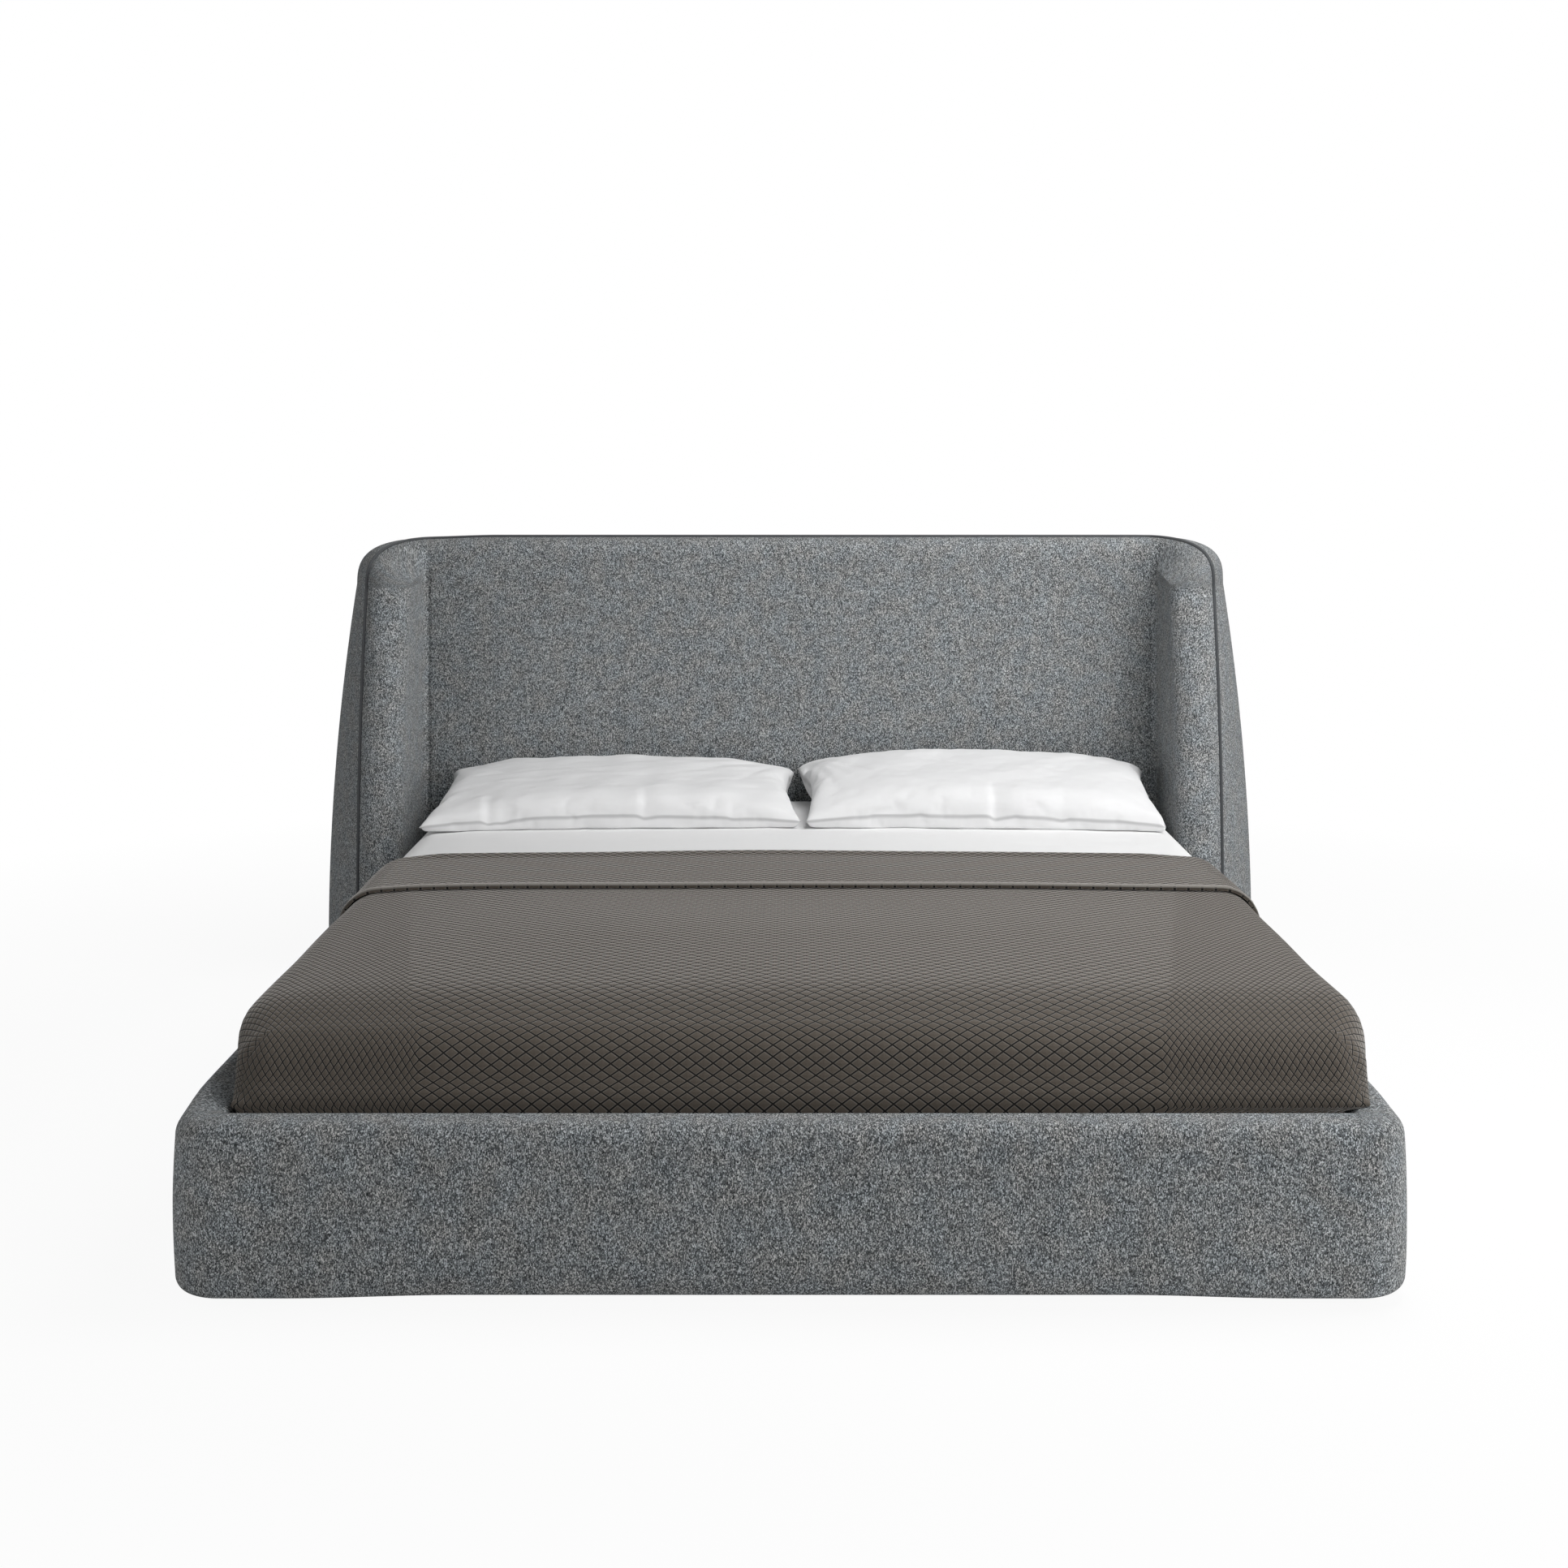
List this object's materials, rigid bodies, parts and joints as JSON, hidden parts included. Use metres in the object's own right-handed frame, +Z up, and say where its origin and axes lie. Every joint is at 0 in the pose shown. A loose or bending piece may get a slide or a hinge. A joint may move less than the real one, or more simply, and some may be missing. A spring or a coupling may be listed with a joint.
{
  "type": "upholstered bed",
  "caption": "Upholstered double bed: padded rails on a slatted base, a headboard with padded wings and a welt, and a mattress with fitted sheet, tucked quilted coverlet and pillows.",
  "frame": {"origin": "on the floor, under the middle of the bed's box", "axes": "+Z up; +Y from the foot to the headboard; +X to the right as seen from the foot"},
  "size_m": [2.274, 2.236, 1.0185],
  "materials": {
    "upholstery": "woven blue-grey melange, matt",
    "welt": "smooth dark grey piping",
    "back_cloth": "thin black lining, matt",
    "linen": "white cotton, matt",
    "ticking": "white knitted ticking, matt",
    "filling": "foam and wadding, unseen",
    "quilt": "taupe diamond-quilted microfibre, matt",
    "timber": "planed pine, unfinished",
    "birch": "birch plywood, sanded",
    "steel": "zinc plated",
    "plastic": "black, matt",
    "felt": "grey felt"
  },
  "bodies": {
    "bed": {"foot_rail_board": "timber", "side_rail_board_left": "timber", "side_rail_board_right": "timber", "foot_rail_padding": "upholstery", "side_rail_padding_left": "upholstery", "side_rail_padding_right": "upholstery", "corner_blocks": "timber", "corner_bolts": "steel", "corner_feet": "plastic", "foot_glides": "felt", "ledger_left": "timber", "ledger_right": "timber", "ledger_screws": "steel", "centre_beam": "steel", "beam_hangers": "steel", "centre_legs": "steel", "leg_glides": "plastic", "slats_left": "birch", "slats_right": "birch", "slat_holders_side": "plastic", "slat_holders_centre": "plastic", "headboard_post_left": "timber", "headboard_post_right": "timber", "headboard_top_rail": "timber", "headboard_bottom_rail": "timber", "headboard_lower_rail": "timber", "headboard_panel": "birch", "headboard_glides": "plastic", "headboard_brackets": "steel", "headboard_bolts": "steel", "wing_batten_left": "timber", "wing_batten_right": "timber", "wing_board_left": "birch", "wing_board_right": "birch", "shell_board_left": "birch", "shell_board_right": "birch", "wing_ribs_left": "birch", "wing_ribs_right": "birch", "panel_padding": "upholstery", "wing_padding_left": "upholstery", "wing_padding_right": "upholstery", "shell_padding_left": "upholstery", "shell_padding_right": "upholstery", "shell_padding_top": "upholstery", "back_cover": "back_cloth", "welt_piping": "welt"},
    "mattress": {"mattress_core": "filling", "mattress_cover": "ticking", "fitted_sheet": "linen", "coverlet": "quilt", "coverlet_hem": "quilt"},
    "pillow_left": {"pillow_fill_left": "filling", "pillowcase_left": "linen"},
    "pillow_right": {"pillow_fill_right": "filling", "pillowcase_right": "linen"}
  },
  "joints": [
    {"name": "mattress_lift", "type": "slide", "parent": "bed", "child": "mattress", "axis": [0, 0, 1], "range_m": [0, 0.25]},
    {"name": "pillow_lift_left", "type": "slide", "parent": "mattress", "child": "pillow_left", "axis": [0, 0, 1], "range_m": [0, 0.3]},
    {"name": "pillow_lift_right", "type": "slide", "parent": "mattress", "child": "pillow_right", "axis": [0, 0, 1], "range_m": [0, 0.3]}
  ]
}
